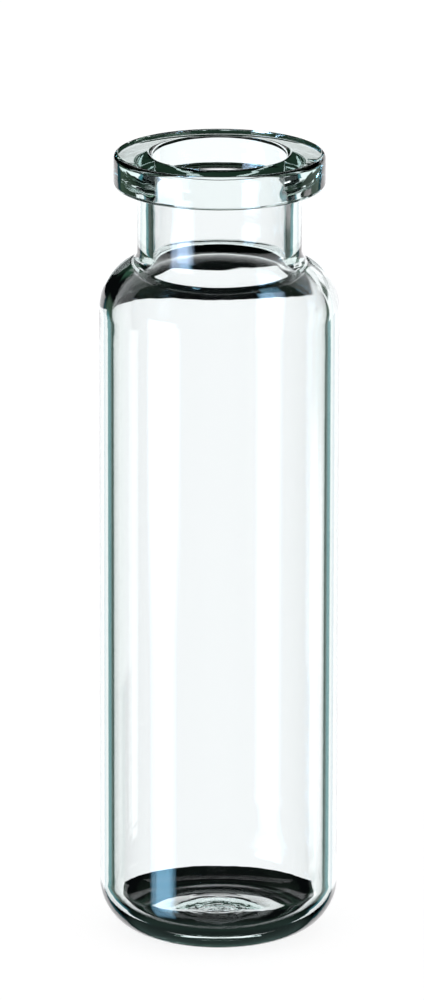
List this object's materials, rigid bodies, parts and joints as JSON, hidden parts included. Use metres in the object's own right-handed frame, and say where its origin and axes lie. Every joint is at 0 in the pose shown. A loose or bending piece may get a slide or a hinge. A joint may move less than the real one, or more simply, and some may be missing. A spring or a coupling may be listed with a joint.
{
  "type": "glass headspace vial",
  "caption": "Clear glass sample vial with a straight tube body, rounded heel, necked shoulder and a thick crimp flange round its open mouth.",
  "frame": {"origin": "on the vial's axis, in the plane that it stands on", "axes": "+Z along the vial's axis, up and out of the mouth; X and Y are equivalent, because the vial is round"},
  "size_m": [0.0225, 0.0224, 0.0755],
  "materials": {
    "vial": "clear, polished, with a faint green tint"
  },
  "bodies": {
    "root": {"vial": "vial"}
  },
  "joints": []
}
